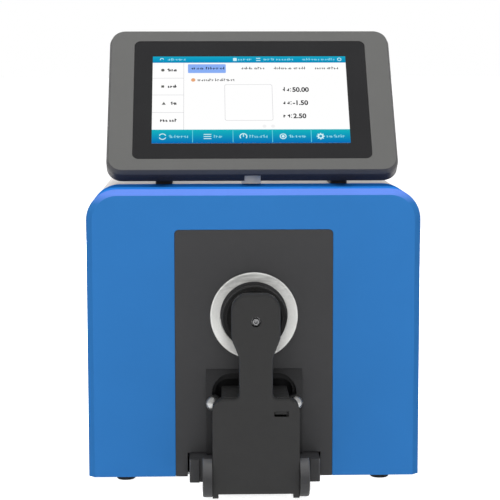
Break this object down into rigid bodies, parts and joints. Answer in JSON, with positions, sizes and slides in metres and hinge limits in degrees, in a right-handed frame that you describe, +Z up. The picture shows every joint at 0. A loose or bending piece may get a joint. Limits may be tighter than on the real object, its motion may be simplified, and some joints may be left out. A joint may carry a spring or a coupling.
{
  "type": "benchtop colorimeter",
  "caption": "Benchtop colour-measuring instrument: upright casing with a front measuring port, a spring-closed clamp arm that swings down and a tilting touch screen on top.",
  "frame": {"origin": "on the bench, under the middle of the whole instrument's box", "axes": "+Y from the user's side to the back, +X to the user's right, +Z up"},
  "size_m": [0.254, 0.3686, 0.3492],
  "materials": {
    "blue_casing": "satin blue moulded plastic",
    "grey_cover": "warm light grey powder coat",
    "dark_panel": "fine-grained charcoal plastic",
    "arm_plastic": "charcoal moulded plastic",
    "cast_grey": "charcoal painted casting",
    "bright_ring": "brushed, turned",
    "black_mask": "black",
    "black_rubber": "matte",
    "bright_steel": "polished",
    "screw_steel": "zinc plated",
    "spring_steel": "drawn wire",
    "steel_sheet": "zinc-plated sheet",
    "white_sphere": "white diffusing shell",
    "alu_block": "bead blasted",
    "lamp_glass": "clear",
    "lens_glass": "coated",
    "board_green": "solder mask",
    "capacitor_sleeve": "shrunk sleeve over an aluminium can",
    "screen_grey": "fine-grained grey plastic",
    "screen_shell": "black plastic",
    "screen_glass": "black-bordered touch glass",
    "lcd_panel": "display module",
    "switch_black": "black",
    "socket_metal": "nickel plated"
  },
  "bodies": {
    "base": {"front_bezel": "blue_casing", "main_cover": "grey_cover", "cable_duct": "grey_cover", "rear_panel": "grey_cover", "rear_screws": "screw_steel", "base_plate": "steel_sheet", "foot_front_left": "black_rubber", "foot_front_right": "black_rubber", "foot_rear_left": "black_rubber", "foot_rear_right": "black_rubber", "foot_screws": "screw_steel", "front_panel": "dark_panel", "aperture_ring": "bright_ring", "guide_frame": "arm_plastic", "dome_screws": "bright_steel", "hinge_carrier": "cast_grey", "carrier_screws": "screw_steel", "hinge_shaft": "bright_steel", "sphere_front": "white_sphere", "sphere_rear": "white_sphere", "flange_screws": "screw_steel", "sphere_stand": "steel_sheet", "lamp_housing": "alu_block", "flash_lamp": "lamp_glass", "detector_tube": "alu_block", "detector_lens": "lens_glass", "spectrometer": "alu_block", "spectrometer_table": "steel_sheet", "main_board": "board_green", "board_standoffs": "bright_steel", "flash_capacitor": "capacitor_sleeve", "capacitor_clip": "black_mask", "switch_frame": "switch_black", "power_inlet": "switch_black", "usb_port": "socket_metal", "tilt_bracket_left": "cast_grey", "tilt_bracket_right": "cast_grey", "bracket_screws": "screw_steel"},
    "arm": {"arm_plate": "arm_plastic", "arm_rear_housing": "arm_plastic", "arm_spring": "spring_steel", "pad_spring": "spring_steel"},
    "pad": {"pad_holder": "black_mask", "sample_pad": "black_rubber", "pad_screw": "bright_steel"},
    "mask": {"aperture_mask": "black_mask"},
    "rocker": {"power_rocker": "switch_black"},
    "screen": {"screen_frame": "screen_grey", "touch_glass": "screen_glass", "lcd_module": "lcd_panel", "screen_back": "screen_shell", "screen_board": "board_green", "tilt_pins": "bright_steel"}
  },
  "joints": [
    {"name": "arm_swing", "type": "hinge", "parent": "base", "child": "arm", "pos_m": [0, -0.1697, 0.0175], "axis": [1, 0, 0], "range_deg": [0, 90], "stiffness_Nm_per_rad": 0.135, "springref_deg": -137.51},
    {"name": "pad_press", "type": "slide", "parent": "arm", "child": "pad", "axis": [0, -1, 0], "range_m": [0, 0.004], "stiffness_N_per_m": 400, "springref_m": -0.003, "deforming": ["pad_spring"]},
    {"name": "mask_twist", "type": "hinge", "parent": "base", "child": "mask", "pos_m": [0, -0.1297, 0.133], "axis": [0, 1, 0], "range_deg": [0, 30]},
    {"name": "rocker_tip", "type": "hinge", "parent": "base", "child": "rocker", "pos_m": [-0.092, 0.1793, 0.042], "axis": [1, 0, 0], "range_deg": [0, 16]},
    {"name": "screen_tilt", "type": "hinge", "parent": "base", "child": "screen", "pos_m": [0, -0.05976, 0.24849], "axis": [1, 0, 0], "range_deg": [-30, 4]}
  ]
}
